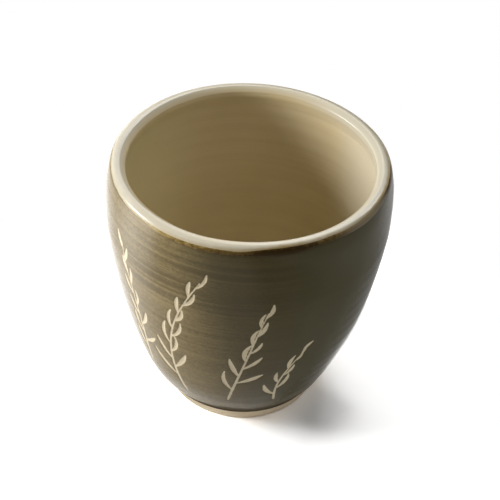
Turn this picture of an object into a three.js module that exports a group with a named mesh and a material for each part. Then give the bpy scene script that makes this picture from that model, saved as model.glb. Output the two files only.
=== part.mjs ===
// Wheel-thrown stoneware tumbler. A clay body stands on a turned foot ring. Outside it carries a brushed
// dark slip, inside a pale liner glaze, and a second pale glaze is dipped over the lip. An iron-brown line
// shows where the lip glaze runs out over the slip.
// Millimetres, +Z up. The origin is on the axis, at the table.
import * as THREE from "three";

// Overall form of the finished pot
const HEIGHT = 89; // table to the top of the lip
const BELLY_RADIUS = 44.4; // widest part of the outside
const BELLY_DROP = 19; // top of the lip down to the widest part
const LIP_INSET = 1.5; // lip's outside edge, in from the belly
const LIP_CROWN = 1.9; // height of the lip's round top, outside
const LIP_CROWN_INSIDE = 3.4; // and inside, where it falls off more slowly
const LIP_LEAN = 0.3; // how far the wall leans in at the lip, for each millimetre up
const WALL = 4.7; // wall at the lip and at the belly, coats included

// Foot, and the line above it where the coats stop
const FOOT_HEIGHT = 6.1;
const FOOT_RADIUS = 25.1; // outside of the ring, just above its bevel
const FOOT_WIDTH = 5.4; // ring's tread, outer edge to inner edge
const FOOT_BEVEL = 0.4; // both edges of the tread
const FOOT_DRAFT = 0.8; // how far the recess narrows from the table up to the floor
const COAT_LINE_RADIUS = 27.3; // lower edge of the slip

// Inside of the floor
const FLOOR_THICKNESS = 5.4;
const FLOOR_FLAT_RADIUS = 12; // flat middle, before the floor turns up into the wall

// Coats, measured square to the surface
const SLIP_THICKNESS = 0.5;
const IRON_LINE_THICKNESS = 0.5;
const LIP_GLAZE_THICKNESS = 0.6;
const LINER_THICKNESS = 0.5;
const BOND_GAP = 0.02; // clearance between neighbouring layers

// Where the coats end
const IRON_LINE_RISE = 1.1; // above the height where the slip stops and the lip starts to round over
const LIP_GLAZE_DROP_INSIDE = 9; // top of the lip down to the lower edge of its glaze, inside

// Handles of the profile's curves: how long each end keeps its direction
const FLARE_SLOPE = 1.35; // millimetres out for each millimetre up, at the coat line
const FLARE_HANDLE = 12.5;
const BELLY_HANDLE_BELOW = 8.6;
const BELLY_HANDLE_ABOVE = 8.7;
const LIP_HANDLE = 4.2;
const INNER_BELLY_HANDLE = 21;
const FLOOR_HANDLE = 20.5;
const ROUND_HANDLE = 0.5523; // share of a radius that makes a cubic curve a quarter circle

// Facets
const AROUND = 48;
const LONG_STEPS = 9;
const SHORT_STEPS = 4;
const BAND_STEPS = 2;

const flat = (radius, height) => new THREE.Vector2(radius, height);
const bezier = (a, b, c, d) => new THREE.CubicBezierCurve(a, b, c, d);

// Named points of the finished section, as radius and height
const lipRadius = BELLY_RADIUS - LIP_INSET;
const shoulderHeight = HEIGHT - LIP_CROWN;
const floorHeight = FOOT_HEIGHT + FLOOR_THICKNESS;
const coatLine = flat(COAT_LINE_RADIUS, FOOT_HEIGHT);
const belly = flat(BELLY_RADIUS, HEIGHT - BELLY_DROP);
const outerShoulder = flat(lipRadius, shoulderHeight);
const lipTop = flat(lipRadius - WALL / 2, HEIGHT);
const innerShoulder = flat(lipRadius - WALL, HEIGHT - LIP_CROWN_INSIDE);
const innerBelly = flat(BELLY_RADIUS - WALL, belly.y);
const floorEdge = flat(FLOOR_FLAT_RADIUS, floorHeight);
const floorMiddle = flat(0, floorHeight);

// Directions of travel along the section: up the outside, over the lip and down the inside
const up = flat(0, 1);
const inwards = flat(-1, 0);
const flare = flat(FLARE_SLOPE, 1).normalize();
const lean = flat(-LIP_LEAN, 1).normalize();
const from = (point, direction, distance) => point.clone().addScaledVector(direction, distance);

const crownHandle = LIP_CROWN * ROUND_HANDLE;
const innerCrownHandle = LIP_CROWN_INSIDE * ROUND_HANDLE;
const lipHandle = (WALL / 2) * ROUND_HANDLE;
const section = {
  lowerOutside: bezier(
    coatLine,
    from(coatLine, flare, FLARE_HANDLE),
    from(belly, up, -BELLY_HANDLE_BELOW),
    belly,
  ),
  upperOutside: bezier(
    belly,
    from(belly, up, BELLY_HANDLE_ABOVE),
    from(outerShoulder, lean, -LIP_HANDLE),
    outerShoulder,
  ),
  lipOutside: bezier(
    outerShoulder,
    from(outerShoulder, lean, crownHandle),
    from(lipTop, inwards, -lipHandle),
    lipTop,
  ),
  lipInside: bezier(
    lipTop,
    from(lipTop, inwards, lipHandle),
    from(innerShoulder, lean, innerCrownHandle),
    innerShoulder,
  ),
  upperInside: bezier(
    innerShoulder,
    from(innerShoulder, lean, -LIP_HANDLE),
    from(innerBelly, up, BELLY_HANDLE_ABOVE),
    innerBelly,
  ),
  lowerInside: bezier(
    innerBelly,
    from(innerBelly, up, -INNER_BELLY_HANDLE),
    from(floorEdge, inwards, -FLOOR_HANDLE),
    floorEdge,
  ),
  floor: new THREE.LineCurve(floorEdge, floorMiddle),
};

// Parameter of a curve at a height, for a curve whose height only rises or only falls.
function parameterAt(curve, height) {
  const rises = curve.getPoint(1).y > curve.getPoint(0).y;
  let low = 0;
  let high = 1;
  for (let halving = 0; halving < 40; halving++) {
    const middle = (low + high) / 2;
    if (curve.getPoint(middle).y < height === rises) low = middle;
    else high = middle;
  }
  return (low + high) / 2;
}

// Stations along a stretch of the finished surface, each with its place and the way out of the clay.
function stretch(curve, start, end, steps) {
  const stations = [];
  for (let step = 0; step <= steps; step++) {
    const t = THREE.MathUtils.lerp(start, end, step / steps);
    const along = curve.getTangent(t);
    stations.push({ place: curve.getPoint(t), out: flat(along.y, -along.x) });
  }
  return stations;
}

// Stretches in a row, with the stations that two of them share kept once.
function joined(...stretches) {
  return stretches.flatMap((stations, index) => (index === 0 ? stations : stations.slice(1)));
}

// The surface that lies a given depth under the finished one.
function under(stations, depth) {
  return stations.map(({ place, out }) => from(place, out, -depth));
}

// Stations of each coat, in the order of travel
const ironLineTop = shoulderHeight + IRON_LINE_RISE;
const linerTop = HEIGHT - LIP_GLAZE_DROP_INSIDE;
const crownAt = (height) => parameterAt(section.lipOutside, height);
const insideAt = (height) => parameterAt(section.upperInside, height);
const coats = {
  slip: joined(
    stretch(section.lowerOutside, 0, 1, LONG_STEPS),
    stretch(section.upperOutside, 0, 1, SHORT_STEPS),
  ),
  ironLine: stretch(section.lipOutside, crownAt(shoulderHeight + BOND_GAP), crownAt(ironLineTop), BAND_STEPS),
  lipGlaze: joined(
    stretch(section.lipOutside, crownAt(ironLineTop + BOND_GAP), 1, SHORT_STEPS),
    stretch(section.lipInside, 0, 1, SHORT_STEPS),
    stretch(section.upperInside, 0, insideAt(linerTop + BOND_GAP), BAND_STEPS),
  ),
  liner: joined(
    stretch(section.upperInside, insideAt(linerTop), 1, BAND_STEPS),
    stretch(section.lowerInside, 0, 1, LONG_STEPS),
    stretch(section.floor, 0, 1, 1),
  ),
};

// A piece turned about the axis. Its section runs anticlockwise, from axis to axis or round to its start.
function turned(name, outline, material) {
  const onAxis = outline[0].x === 0;
  const points = onAxis ? outline : [...outline, outline[0]];
  const geometry = new THREE.LatheGeometry(points, AROUND).rotateX(Math.PI / 2);
  const piece = new THREE.Mesh(geometry, material);
  piece.name = name;
  return piece;
}

// A coat of even thickness on a run of stations.
function coat(name, stations, thickness, material) {
  const bed = under(stations, thickness).reverse();
  const skin = under(stations, 0);
  return turned(name, [...bed, ...skin], material);
}

const finishes = {
  stoneware: new THREE.MeshStandardMaterial({ color: 0xcdb692, roughness: 0.85, metalness: 0 }),
  darkSlip: new THREE.MeshStandardMaterial({ color: 0x4a4436, roughness: 0.42, metalness: 0 }),
  ironLine: new THREE.MeshStandardMaterial({ color: 0x4a3212, roughness: 0.3, metalness: 0 }),
  lipGlaze: new THREE.MeshStandardMaterial({ color: 0xd9d1bc, roughness: 0.22, metalness: 0 }),
  linerGlaze: new THREE.MeshStandardMaterial({ color: 0xcfc19f, roughness: 0.3, metalness: 0 }),
};

// Wall and floor, thrown in one: flat under the floor, and everywhere else just under the coats.
function thrownBody() {
  const outline = [
    flat(0, FOOT_HEIGHT),
    flat(COAT_LINE_RADIUS - SLIP_THICKNESS, FOOT_HEIGHT),
    ...under(coats.slip, SLIP_THICKNESS + BOND_GAP),
    ...under(coats.ironLine, IRON_LINE_THICKNESS + BOND_GAP),
    ...under(coats.lipGlaze, LIP_GLAZE_THICKNESS + BOND_GAP),
    ...under(coats.liner, LINER_THICKNESS + BOND_GAP),
  ];
  return turned("thrown_body", outline, finishes.stoneware);
}

// Bare ring that the pot stands on, with bevelled edges and a recess inside it.
function footRing() {
  const top = FOOT_HEIGHT - BOND_GAP;
  const treadInside = FOOT_RADIUS - FOOT_WIDTH;
  const outline = [
    flat(treadInside + FOOT_BEVEL, 0),
    flat(FOOT_RADIUS - FOOT_BEVEL, 0),
    flat(FOOT_RADIUS, FOOT_BEVEL),
    flat(COAT_LINE_RADIUS - SLIP_THICKNESS, top),
    flat(treadInside - FOOT_DRAFT, top),
    flat(treadInside, FOOT_BEVEL),
  ];
  return turned("foot_ring", outline, finishes.stoneware);
}

const clay = new THREE.Group();
clay.add(thrownBody(), footRing());

const coatings = new THREE.Group();
coatings.add(
  coat("slip_coat", coats.slip, SLIP_THICKNESS, finishes.darkSlip),
  coat("iron_line", coats.ironLine, IRON_LINE_THICKNESS, finishes.ironLine),
  coat("lip_glaze", coats.lipGlaze, LIP_GLAZE_THICKNESS, finishes.lipGlaze),
  coat("liner_glaze", coats.liner, LINER_THICKNESS, finishes.linerGlaze),
);

const tumbler = new THREE.Group();
tumbler.add(clay, coatings);

export default tumbler;
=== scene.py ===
"""Looks of a wheel-thrown stoneware tumbler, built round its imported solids.

The pot is one section turned about the Z axis. Every piece takes a stretch of that section round the axis,
with the slow waver of a pot thrown by hand. Lengths are metres and angles radians, unless a name or a
docstring says otherwise. The camera stands on the -Y side.
"""

import logging
import math
from dataclasses import dataclass, field
from enum import Enum
from typing import Any

import bpy
import numpy as np
from mathutils import Matrix, Vector


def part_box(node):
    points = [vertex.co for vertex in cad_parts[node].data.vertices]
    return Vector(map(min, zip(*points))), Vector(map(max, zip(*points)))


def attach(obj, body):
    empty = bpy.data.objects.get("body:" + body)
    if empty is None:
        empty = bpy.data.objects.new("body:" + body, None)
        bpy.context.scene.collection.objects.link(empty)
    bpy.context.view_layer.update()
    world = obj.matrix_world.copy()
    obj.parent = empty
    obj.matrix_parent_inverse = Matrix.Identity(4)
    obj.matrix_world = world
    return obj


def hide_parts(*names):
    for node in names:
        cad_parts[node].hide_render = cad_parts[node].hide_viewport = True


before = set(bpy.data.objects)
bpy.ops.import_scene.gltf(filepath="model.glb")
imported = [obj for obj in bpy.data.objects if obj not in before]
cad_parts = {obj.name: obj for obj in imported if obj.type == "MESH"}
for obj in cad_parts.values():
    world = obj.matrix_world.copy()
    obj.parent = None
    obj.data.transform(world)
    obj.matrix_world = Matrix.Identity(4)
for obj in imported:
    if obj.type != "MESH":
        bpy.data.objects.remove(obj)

LOG = logging.getLogger("tumbler")
MM = 0.001
FULL_TURN = 2.0 * math.pi
ROOT_BODY = "root"

Colour = tuple[float, float, float]
Triple = tuple[float, float, float]
Span = tuple[float, float]


class Slot(Enum):
    """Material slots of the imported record."""

    STONEWARE = "stoneware"
    DARK_SLIP = "dark_slip"
    IRON_LINE = "iron_line"
    LIP_GLAZE = "lip_glaze"
    LINER_GLAZE = "liner_glaze"


# Sums on arrays


def kept(values: np.ndarray) -> np.ndarray:
    """Values kept from 0 to 1."""
    return np.clip(values, 0.0, 1.0)


def smooth(share: np.ndarray) -> np.ndarray:
    """Smooth step 3s^2 - 2s^3 of a share s from 0 to 1."""
    return share * share * (3.0 - 2.0 * share)


def bell(offset: np.ndarray, reach: float) -> np.ndarray:
    """Bell curve exp(-(offset / reach)^2)."""
    return np.exp(-((offset / reach) ** 2))


def turn_bell(angle: np.ndarray, middle: float, reach: float) -> np.ndarray:
    """Bell curve of the shortest turn from a middle angle."""
    return bell(np.angle(np.exp(1j * (angle - middle))), reach)


def soft_ripple(angle: np.ndarray, waves: int, seed: int) -> np.ndarray:
    """Slow unevenness round the pot: cosines of 1 to waves turns with seeded phases, higher ones weaker.

    Args:
        angle: Angles round the axis.
        waves: Number of cosines.
        seed: Seed of the phases.

    Returns:
        Values from about -1 to 1, in an array shaped as angle.
    """
    weakening, gain = 0.6, 1.6
    phases = np.random.default_rng(seed).uniform(0.0, FULL_TURN, waves)
    total = np.zeros_like(angle)
    for wave, phase in enumerate(phases, start=1):
        total = total + np.cos(wave * angle + phase) / wave**weakening
    return total / sum(1.0 / wave**weakening for wave in range(1, waves + 1)) * gain


def even_angles(count: int) -> np.ndarray:
    """Angles of count columns, evenly round the axis."""
    return np.arange(count) * FULL_TURN / count


def turned_grid(angle: np.ndarray, radius: np.ndarray, height: np.ndarray) -> np.ndarray:
    """Places at radius cos angle, radius sin angle and height.

    Args:
        angle: Angle of each column.
        radius: Radii, as columns by rows or one row for all columns.
        height: Heights, in the same way.

    Returns:
        An array of columns by rows by 3.
    """
    across, along = radius * np.cos(angle)[:, None], radius * np.sin(angle)[:, None]
    return np.stack([across, along, height + 0.0 * across], axis=-1)


# Section of the pot


def cubic(a: np.ndarray, b: np.ndarray, c: np.ndarray, d: np.ndarray, count: int = 400) -> np.ndarray:
    """Trace a cubic curve: the points weighed by (1-t)^3, 3t(1-t)^2, 3t^2(1-t) and t^3, for t from 0 to 1.

    Args:
        a: Start of the curve.
        b: First handle.
        c: Second handle.
        d: End of the curve.
        count: Number of places along it.

    Returns:
        Places as an array of count by 2.
    """
    t = np.linspace(0.0, 1.0, count)[:, None]
    s = 1.0 - t
    return s**3 * a + 3 * s**2 * t * b + 3 * s * t**2 * c + t**3 * d


@dataclass(frozen=True)
class Section:
    """A line in the half plane of radius and height. Its run is the length from its start."""

    places: np.ndarray

    def runs(self) -> np.ndarray:
        """Length of the line from its start to each of its places."""
        steps = np.hypot(*np.diff(self.places, axis=0).T)
        return np.concatenate([[0.0], np.cumsum(steps)])

    def at(self, run: np.ndarray) -> tuple[np.ndarray, np.ndarray, np.ndarray, np.ndarray]:
        """Find places on the line and the way out of the clay, a quarter turn clockwise from the travel.

        Args:
            run: Lengths from the start, in an array of any shape.

        Returns:
            Radius, height, and the radial and upright parts of the unit way out, each shaped as run.
        """
        runs = self.runs()
        travel = np.gradient(self.places, runs, axis=0)
        travel /= np.hypot(*travel.T)[:, None]
        radius = np.interp(run, runs, self.places[:, 0])
        height = np.interp(run, runs, self.places[:, 1])
        out_radial = np.interp(run, runs, travel[:, 1])
        out_upright = np.interp(run, runs, -travel[:, 0])
        return radius, height, out_radial, out_upright

    def lifted(self, angle: np.ndarray, run: np.ndarray, lift: np.ndarray) -> np.ndarray:
        """Turn a sheet that lies off the line: its places plus lift times the way out, at each angle.

        Args:
            angle: Angle of each column.
            run: Lengths from the start, as rows or as columns by rows.
            lift: Distances out of the clay, as columns by rows.

        Returns:
            Places as an array of columns by rows by 3.
        """
        radius, height, out_radial, out_upright = self.at(run)
        return turned_grid(angle, radius + lift * out_radial, height + lift * out_upright)


@dataclass(frozen=True)
class PotForm:
    """Finished section of the pot, from the solids' boxes and the handles that shape it between them."""

    height: float
    belly_radius: float
    foot_height: float
    floor_height: float
    belly_drop: float = 19.0 * MM
    lip_inset: float = 1.5 * MM
    lip_crown: float = 1.9 * MM
    inner_crown: float = 3.4 * MM
    lip_lean: float = 0.3
    wall: float = 4.7 * MM
    coat_line_radius: float = 27.3 * MM
    floor_flat_radius: float = 12.0 * MM
    flare_slope: float = 1.35
    flare_handle: float = 12.5 * MM
    belly_handle_below: float = 8.6 * MM
    belly_handle_above: float = 8.7 * MM
    lip_handle: float = 4.2 * MM
    inner_belly_handle: float = 21.0 * MM
    floor_handle: float = 20.5 * MM
    round_handle: float = 0.5523

    @classmethod
    def from_solids(cls, liner_thickness: float = 0.5 * MM) -> "PotForm":
        """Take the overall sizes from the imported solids.

        Args:
            liner_thickness: Thickness of the liner glaze, which lies on the clay floor.

        Returns:
            The form that the solids have.
        """
        return cls(
            height=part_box("lip_glaze")[1].z,
            belly_radius=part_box("slip_coat")[1].x,
            foot_height=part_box("thrown_body")[0].z,
            floor_height=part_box("liner_glaze")[0].z + liner_thickness,
        )

    @property
    def shoulder(self) -> float:
        """Height where the lip starts to round over."""
        return self.height - self.lip_crown

    @property
    def lip_radius(self) -> float:
        """Radius of the lip's outer shoulder."""
        return self.belly_radius - self.lip_inset

    def lean(self) -> np.ndarray:
        """Unit direction of the wall at the lip, upwards and a little inwards."""
        return np.array([-self.lip_lean, 1.0]) / math.hypot(self.lip_lean, 1.0)

    def outside(self) -> np.ndarray:
        """Places up the outside, from the coat line over the belly to the shoulder of the lip."""
        flare = np.array([self.flare_slope, 1.0]) / math.hypot(self.flare_slope, 1.0)
        start = np.array([self.coat_line_radius, self.foot_height])
        belly = np.array([self.belly_radius, self.height - self.belly_drop])
        below = belly - np.array([0.0, self.belly_handle_below])
        above = belly + np.array([0.0, self.belly_handle_above])
        end = np.array([self.lip_radius, self.shoulder])
        lower = cubic(start, start + flare * self.flare_handle, below, belly)
        upper = cubic(belly, above, end - self.lean() * self.lip_handle, end)
        return np.vstack([lower, upper[1:]])

    def lip(self) -> np.ndarray:
        """Places over the lip, from its outer shoulder to its inner one."""
        outer = np.array([self.lip_radius, self.shoulder])
        top = np.array([self.lip_radius - self.wall / 2, self.height])
        inner = np.array([self.lip_radius - self.wall, self.height - self.inner_crown])
        rise = self.lean() * self.round_handle
        reach = np.array([self.wall / 2 * self.round_handle, 0.0])
        outside = cubic(outer, outer + rise * self.lip_crown, top + reach, top)
        inside = cubic(top, top - reach, inner + rise * self.inner_crown, inner)
        return np.vstack([outside, inside[1:]])

    def inside(self) -> np.ndarray:
        """Places down the inside, from the lip's inner shoulder to the middle of the floor."""
        start = np.array([self.lip_radius - self.wall, self.height - self.inner_crown])
        belly = np.array([self.belly_radius - self.wall, self.height - self.belly_drop])
        above = belly + np.array([0.0, self.belly_handle_above])
        below = belly - np.array([0.0, self.inner_belly_handle])
        edge = np.array([self.floor_flat_radius, self.floor_height])
        upper = cubic(start, start - self.lean() * self.lip_handle, above, belly)
        lower = cubic(belly, below, edge + np.array([self.floor_handle, 0.0]), edge)
        middle = np.linspace(edge, [0.0, self.floor_height], 100)
        return np.vstack([upper, lower[1:], middle[1:]])

    def section(self) -> Section:
        """Whole finished section: up the outside, over the lip and down the inside to the axis."""
        return Section(np.vstack([self.outside(), self.lip()[1:], self.inside()[1:]]))

    def run_outside(self, height: float) -> float:
        """Run of the section where its outside has a height."""
        rising = np.vstack([self.outside(), self.lip()[1 : self.lip().shape[0] // 2]])
        return float(np.interp(height, rising[:, 1], Section(rising).runs()))

    def run_inside(self, height: float) -> float:
        """Run of the section where its inside has a height."""
        whole = self.section()
        top = int(np.argmax(whole.places[:, 1]))
        falling = slice(None, top, -1)
        return float(np.interp(height, whole.places[falling, 1], whole.runs()[falling]))


@dataclass(frozen=True)
class Waver:
    """How far the pot is out of true: oval, lobed, swollen, with a tilted, dipped lip and a slim side."""

    swell: float = 0.24 * MM
    swell_angles: tuple[float, ...] = (0.30, 3.32)
    swell_reach: float = 0.55
    oval: float = 0.14 * MM
    oval_angle: float = 0.6
    lobes: float = 0.08 * MM
    lobe_angle: float = 1.9
    tilt: float = 0.12 * MM
    tilt_angle: float = 2.4
    tilt_radius: float = 40.0 * MM
    dip: float = 0.32 * MM
    dip_angle: float = 4.28
    dip_reach: float = 0.32
    slim: float = 1.2 * MM
    slim_angle: float = -0.49
    slim_reach: float = 0.6
    slim_height: float = 17.0 * MM
    slim_rise: float = 14.0 * MM
    slim_from: float = 6.0 * MM
    axis_reach: float = 10.0 * MM

    def bend(self, points: np.ndarray, height: float) -> np.ndarray:
        """Move points out and up, by amounts that depend on their angle a and their height.

        Out goes oval cos 2a + lobes cos 3a + bell curves of a, and up goes tilt cos a less a bell curve.
        Both are times the squared share of the height. One low side is moved in by a bell curve of a
        times one of the height.

        Args:
            points: Places as an array of columns by rows by 3.
            height: Height of the pot.

        Returns:
            The moved places, with those on the table unmoved.
        """
        angle = np.arctan2(points[..., 1], points[..., 0])
        radius = np.hypot(points[..., 0], points[..., 1])
        level = points[..., 2]
        share = np.clip(level / height, 0.0, None) ** 2
        out = self.oval * np.cos(2 * (angle - self.oval_angle))
        out += self.lobes * np.cos(3 * (angle - self.lobe_angle))
        for middle in self.swell_angles:
            out += self.swell * turn_bell(angle, middle, self.swell_reach)
        low = bell(level - self.slim_height, self.slim_rise) * kept(level / self.slim_from)
        slimmed = self.slim * turn_bell(angle, self.slim_angle, self.slim_reach) * low
        out = (out * share - slimmed) * kept(radius / self.axis_reach)
        rise = self.tilt * np.cos(angle - self.tilt_angle)
        rise -= self.dip * turn_bell(angle, self.dip_angle, self.dip_reach)
        lifted = rise * share * radius / self.tilt_radius
        return points + np.stack([out * np.cos(angle), out * np.sin(angle), lifted], axis=-1)


# Meshes


class Ends(Enum):
    """How a turned grid's section ends."""

    LOOP = "closes on itself"
    BOTH_ON_AXIS = "first and last rows on the axis"


def turned_mesh(name: str, points: np.ndarray, ends: Ends) -> bpy.types.Object:
    """Make a smooth closed mesh of a grid that goes round the axis.

    Each four neighbours make a face that points away from the clay, because columns go anticlockwise and
    rows go up the outside. A row on the axis becomes one point with a fan of triangles.

    Args:
        name: Name of the piece.
        points: Places as an array of columns by rows by 3.
        ends: How the section ends.

    Returns:
        The new object, at the origin.
    """
    loops = ends is Ends.LOOP
    body = points if loops else points[:, 1:-1]
    columns, rows = body.shape[:2]
    column = np.arange(columns)[:, None]
    row = np.arange(rows if loops else rows - 1)[None, :]
    beside = (column + 1) % columns
    above = (row + 1) % rows
    corners = [column * rows + row, beside * rows + row, beside * rows + above, column * rows + above]
    faces = np.stack(corners, axis=-1).reshape(-1, 4).tolist()
    places = body.reshape(-1, 3)
    if not loops:
        first, second = column[:, 0] * rows, beside[:, 0] * rows
        last_pole = np.full(columns, len(places))
        faces += np.stack([first + rows - 1, second + rows - 1, last_pole], axis=-1).tolist()
        faces += np.stack([second, first, last_pole + 1], axis=-1).tolist()
        places = np.vstack([places, points[:, -1].mean(axis=0), points[:, 0].mean(axis=0)])
    mesh = bpy.data.meshes.new(name)
    mesh.from_pydata(places.tolist(), [], faces)
    mesh.shade_smooth()
    mesh.update()
    piece = bpy.data.objects.new(name, mesh)
    bpy.context.scene.collection.objects.link(piece)
    return piece


def point_values(piece: bpy.types.Object, name: str, values: np.ndarray) -> None:
    """Store one number for each point of a piece, under a name that its finish reads.

    Args:
        piece: The piece.
        name: Name of the attribute.
        values: Numbers as columns by rows, in the order of the piece's grid.
    """
    attribute = piece.data.attributes.new(name, "FLOAT", "POINT")
    attribute.data.foreach_set("value", values.astype(np.float32).reshape(-1))


def settle(piece: bpy.types.Object, slot: Slot, *nodes: str) -> bpy.types.Object:
    """Let a piece ride on the pot's one body, in the place of the solids that it stands for.

    Args:
        piece: The piece.
        slot: Material slot of the record; not used.
        nodes: Names of the solids.

    Returns:
        The same piece.
    """
    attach(piece, ROOT_BODY)
    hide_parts(*nodes)
    LOG.info("%s: %d faces, stands for %s", piece.name, len(piece.data.polygons), ", ".join(nodes))
    return piece


# Shader sums


class Wire:
    """One output of a shader tree, whose sums are written as Python expressions."""

    def __init__(self, tree: "ShaderTree", socket: bpy.types.NodeSocket) -> None:
        """Keep the tree and the socket."""
        self.tree = tree
        self.socket = socket

    def __add__(self, other: "Wire | float") -> "Wire":
        """Sum."""
        return self.tree.sum("ADD", self, other)

    __radd__ = __add__

    def __sub__(self, other: "Wire | float") -> "Wire":
        """Difference."""
        return self.tree.sum("SUBTRACT", self, other)

    def __rsub__(self, other: "Wire | float") -> "Wire":
        """Difference from a number."""
        return self.tree.sum("SUBTRACT", other, self)

    def __mul__(self, other: "Wire | float") -> "Wire":
        """Product."""
        return self.tree.sum("MULTIPLY", self, other)

    __rmul__ = __mul__

    def __truediv__(self, other: "Wire | float") -> "Wire":
        """Quotient."""
        return self.tree.sum("DIVIDE", self, other)

    def __rtruediv__(self, other: "Wire | float") -> "Wire":
        """Quotient of a number."""
        return self.tree.sum("DIVIDE", other, self)

    def __abs__(self) -> "Wire":
        """Size without its sign."""
        return self.tree.sum("ABSOLUTE", self, 0.0)


@dataclass(frozen=True)
class Pattern:
    """Smooth noise: waves per metre across and upwards, finer layers with their strength, and a shift."""

    across: float
    upwards: float
    layers: float = 2.0
    strength: float = 0.5
    shift: Triple = (0.0, 0.0, 0.0)


class ShaderTree:
    """Node tree of one material, filled by expressions."""

    def __init__(self, name: str) -> None:
        """Make an empty material.

        Args:
            name: Name of the finish.
        """
        self.material = bpy.data.materials.new(name)
        self.material.use_nodes = True
        self.nodes = self.material.node_tree.nodes
        self.links = self.material.node_tree.links
        self.nodes.clear()

    def node(
        self,
        kind: str,
        settings: dict[str, Any],
        sockets: dict[str | int, Any],
        output: str | int = 0,
    ) -> Wire:
        """Add a node: its settings first, then the values or wires of its sockets.

        Args:
            kind: Blender's name of the node type.
            settings: Properties of the node, and a ramp's stops as pairs of place and colour.
            sockets: Values or wires by socket name or number.
            output: Name or number of the output to hand back.

        Returns:
            The chosen output.
        """
        made = self.nodes.new(kind)
        for key, value in settings.items():
            if key == "stops":
                self.set_stops(made.color_ramp, value)
            else:
                setattr(made, key, value)
        for key, value in sockets.items():
            socket = made.inputs[key]
            if isinstance(value, Wire):
                self.links.new(value.socket, socket)
            else:
                socket.default_value = (*value, 1.0) if socket.type == "RGBA" else value
        return Wire(self, made.outputs[output])

    @staticmethod
    def set_stops(ramp: bpy.types.ColorRamp, stops: list[tuple[float, Colour]]) -> None:
        """Set a ramp's stops.

        Args:
            ramp: The ramp.
            stops: Pairs of place and colour, at least two, from left to right.
        """
        while len(ramp.elements) < len(stops):
            ramp.elements.new(1.0)
        for element, (place, colour) in zip(ramp.elements, stops):
            element.position = place
            element.color = (*colour, 1.0)

    def sum(self, operation: str, a: "Wire | float", b: "Wire | float") -> Wire:
        """One Math node."""
        return self.node("ShaderNodeMath", {"operation": operation}, {0: a, 1: b})

    def place(self) -> Wire:
        """Place on the piece, in metres."""
        return self.node("ShaderNodeTexCoord", {}, {}, "Object")

    def axis(self, name: str) -> Wire:
        """Place on the piece along the axis X, Y or Z, in metres."""
        return self.node("ShaderNodeSeparateXYZ", {}, {"Vector": self.place()}, name)

    def value_of(self, attribute: str) -> Wire:
        """Number stored on the piece's points."""
        return self.node("ShaderNodeAttribute", {"attribute_name": attribute}, {}, "Fac")

    def noise(self, pattern: Pattern) -> Wire:
        """Value of a noise pattern, from 0 to 1 about one half."""
        scale = (pattern.across, pattern.across, pattern.upwards)
        mapping = {"Vector": self.place(), "Scale": scale, "Location": pattern.shift}
        where = self.node("ShaderNodeMapping", {}, mapping)
        sockets = {"Vector": where, "Scale": 1.0, "Detail": pattern.layers, "Roughness": pattern.strength}
        return self.node("ShaderNodeTexNoise", {}, sockets)

    def ease(self, value: Wire, low: float, high: float) -> Wire:
        """Smooth step from 0 where a value is low to 1 where it is high."""
        sockets = {"Value": value, "From Min": low, "From Max": high}
        return self.node("ShaderNodeMapRange", {"interpolation_type": "SMOOTHSTEP"}, sockets)

    def mix(self, a: "Wire | Colour", b: "Wire | Colour", share: "Wire | float") -> Wire:
        """Colour that goes from a to b as share goes from 0 to 1."""
        return self.node("ShaderNodeMix", {"data_type": "RGBA"}, {0: share, 6: a, 7: b}, 2)

    def bump(self, relief: Wire, depth: float, strength: float = 1.0) -> Wire:
        """Surface direction over a relief whose range of 1 is depth metres."""
        return self.node("ShaderNodeBump", {}, {"Height": relief, "Distance": depth, "Strength": strength})

    def close(self, surface: Wire) -> bpy.types.Material:
        """End the tree in a surface, and hand back the material."""
        end = self.nodes.new("ShaderNodeOutputMaterial")
        self.links.new(surface.socket, end.inputs["Surface"])
        return self.material

    def finish(self, sockets: dict[str, Any]) -> bpy.types.Material:
        """End the tree in one surface shader with the given values or wires of its sockets."""
        return self.close(self.node("ShaderNodeBsdfPrincipled", {}, sockets))


# Finishes


@dataclass(frozen=True)
class ClayFinish:
    """Bare fired stoneware: buff, fine grained, with dark specks, the marks of the turning tool, and
    painted shade that darkens its lit left side.
    """

    pale: Colour = (0.89, 0.75, 0.54)
    dark: Colour = (0.77, 0.615, 0.41)
    # Painted shade: a darker, greyer buff for the lit left side.
    left_painted_shade: Colour = (0.505, 0.43, 0.295)
    speck: Colour = (0.16, 0.10, 0.055)
    roughness: float = 0.82
    cloud: Pattern = Pattern(90.0, 120.0, 4.0, 0.6)
    turning: Pattern = Pattern(30.0, 1500.0)
    grain: Pattern = Pattern(2600.0, 2600.0, 3.0, 0.7)
    specks: Pattern = Pattern(900.0, 900.0, 1.0, 0.5, (7.0, 3.0, 1.0))
    dark_span: Span = (0.35, 0.68)
    speck_span: Span = (0.74, 0.80)
    speck_share: float = 0.45
    left_painted_shade_side: Span = (-4.0 * MM, -20.0 * MM)
    relief: float = 0.03 * MM

    def material(self) -> bpy.types.Material:
        """Build the finish."""
        tree = ShaderTree("bare_stoneware")
        turning = tree.noise(self.turning)
        cloud = tree.noise(self.cloud) * 0.6 + turning * 0.4
        ground = tree.mix(self.pale, self.dark, tree.ease(cloud, *self.dark_span))
        # Painted shade: darker and greyer towards the left, where the light falls.
        ground = tree.mix(ground, self.left_painted_shade, tree.ease(tree.axis("X"), *self.left_painted_shade_side))
        specks = tree.ease(tree.noise(self.specks), *self.speck_span)
        relief = tree.noise(self.grain) * 0.7 + turning * 0.6
        sockets = {
            "Base Color": tree.mix(ground, self.speck, specks * self.speck_share),
            "Roughness": self.roughness,
            "Normal": tree.bump(relief, self.relief),
        }
        return tree.finish(sockets)


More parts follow.
